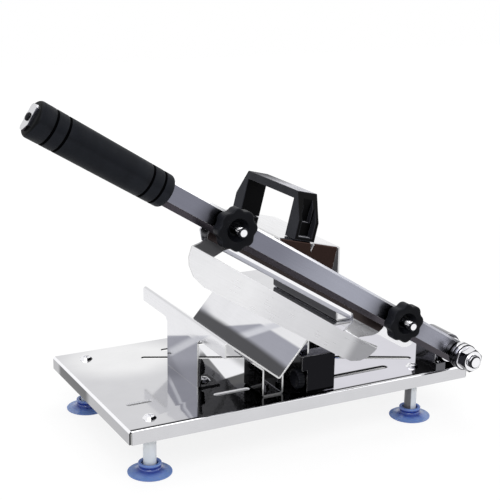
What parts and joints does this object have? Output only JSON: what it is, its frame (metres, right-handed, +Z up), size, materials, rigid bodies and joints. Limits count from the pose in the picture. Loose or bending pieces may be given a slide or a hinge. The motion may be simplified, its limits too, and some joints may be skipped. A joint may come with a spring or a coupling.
{
  "type": "frozen meat slicer",
  "caption": "Hand slicer with a pivoting blade lever over a V-shaped trough on a folded steel base with suction cup feet, a sliding press with a bridge handle, and a ribbed lever grip.",
  "frame": {"origin": "the point on the ground under the middle of the base plate", "axes": "+X runs along the base toward the lever's axle, +Y runs back away from the blade, +Z is up"},
  "size_m": [0.4214, 0.2242, 0.3215],
  "materials": {
    "polished_steel": "mirror-polished stainless sheet and bar",
    "dark_mirror_steel": "polished stainless that mirrors dark surroundings",
    "satin_steel": "satin stainless",
    "blade_steel": "ground stainless",
    "bright_steel": "bright plated steel",
    "black_plastic": "satin moulded plastic",
    "white_nylon": "plain nylon",
    "blue_rubber": "glossy soft plastic"
  },
  "bodies": {
    "base": {"base_plate": "polished_steel", "trough": "polished_steel", "leg_bracket_left": "polished_steel", "leg_bracket_right": "polished_steel", "saddle": "dark_mirror_steel", "front_support": "dark_mirror_steel", "pivot_bracket": "dark_mirror_steel", "arm_stop": "dark_mirror_steel", "axle_sleeve": "satin_steel", "saddle_bolt": "bright_steel", "thumb_nut": "bright_steel", "axle_bolt": "bright_steel", "axle_washer_head": "bright_steel", "axle_washer_back": "bright_steel", "axle_washer_inner": "bright_steel", "axle_washer_outer": "bright_steel", "axle_washer_nut": "bright_steel", "axle_nut": "bright_steel", "stop_screw": "bright_steel", "bracket_screw_left": "bright_steel", "bracket_screw_right": "bright_steel", "support_screw": "bright_steel", "foot_screw_front_left": "bright_steel", "foot_screw_front_right": "bright_steel", "foot_screw_rear_left": "bright_steel", "foot_screw_rear_right": "bright_steel", "foot_post_front_left": "white_nylon", "foot_post_front_right": "white_nylon", "foot_post_rear_left": "white_nylon", "foot_post_rear_right": "white_nylon", "suction_cup_front_left": "blue_rubber", "suction_cup_front_right": "blue_rubber", "suction_cup_rear_left": "blue_rubber", "suction_cup_rear_right": "blue_rubber"},
    "lever": {"lever_bar": "polished_steel", "bar_plug": "black_plastic", "grip": "black_plastic", "blade": "blade_steel", "blade_guard": "satin_steel", "blade_bolt_near": "bright_steel", "blade_bolt_far": "bright_steel"},
    "press": {"press_plate": "polished_steel", "press_handle": "black_plastic", "handle_screw_front": "bright_steel", "handle_screw_rear": "bright_steel"},
    "near_star_knob": {"star_knob_near": "black_plastic"},
    "far_star_knob": {"star_knob_far": "black_plastic"},
    "left_thumb_screw": {"thumb_screw_left": "black_plastic"},
    "right_thumb_screw": {"thumb_screw_right": "black_plastic"},
    "front_thumb_screw": {"thumb_screw_front": "black_plastic"}
  },
  "joints": [
    {"name": "lever_swing", "type": "hinge", "parent": "base", "child": "lever", "pos_m": [0.151, 0, 0.0668], "axis": [0, 1, 0], "range_deg": [-26, 50]},
    {"name": "press_slide", "type": "slide", "parent": "base", "child": "press", "axis": [0, 1, 0], "range_m": [0, 0.045]},
    {"name": "near_star_knob_turn", "type": "hinge", "parent": "lever", "child": "near_star_knob", "pos_m": [0.08211, -0.11, 0.11036], "axis": [0, 1, 0], "continuous": true},
    {"name": "far_star_knob_turn", "type": "hinge", "parent": "lever", "child": "far_star_knob", "pos_m": [-0.08526, -0.11, 0.21332], "axis": [0, 1, 0], "continuous": true},
    {"name": "left_thumb_screw_turn", "type": "hinge", "parent": "base", "child": "left_thumb_screw", "pos_m": [-0.075, -0.024, 0.0641], "axis": [1, 0, 0], "continuous": true},
    {"name": "right_thumb_screw_turn", "type": "hinge", "parent": "base", "child": "right_thumb_screw", "pos_m": [0.04, -0.024, 0.0641], "axis": [1, 0, 0], "continuous": true},
    {"name": "front_thumb_screw_turn", "type": "hinge", "parent": "base", "child": "front_thumb_screw", "pos_m": [-0.004, -0.079, 0.0611], "axis": [1, 0, 0], "continuous": true}
  ]
}
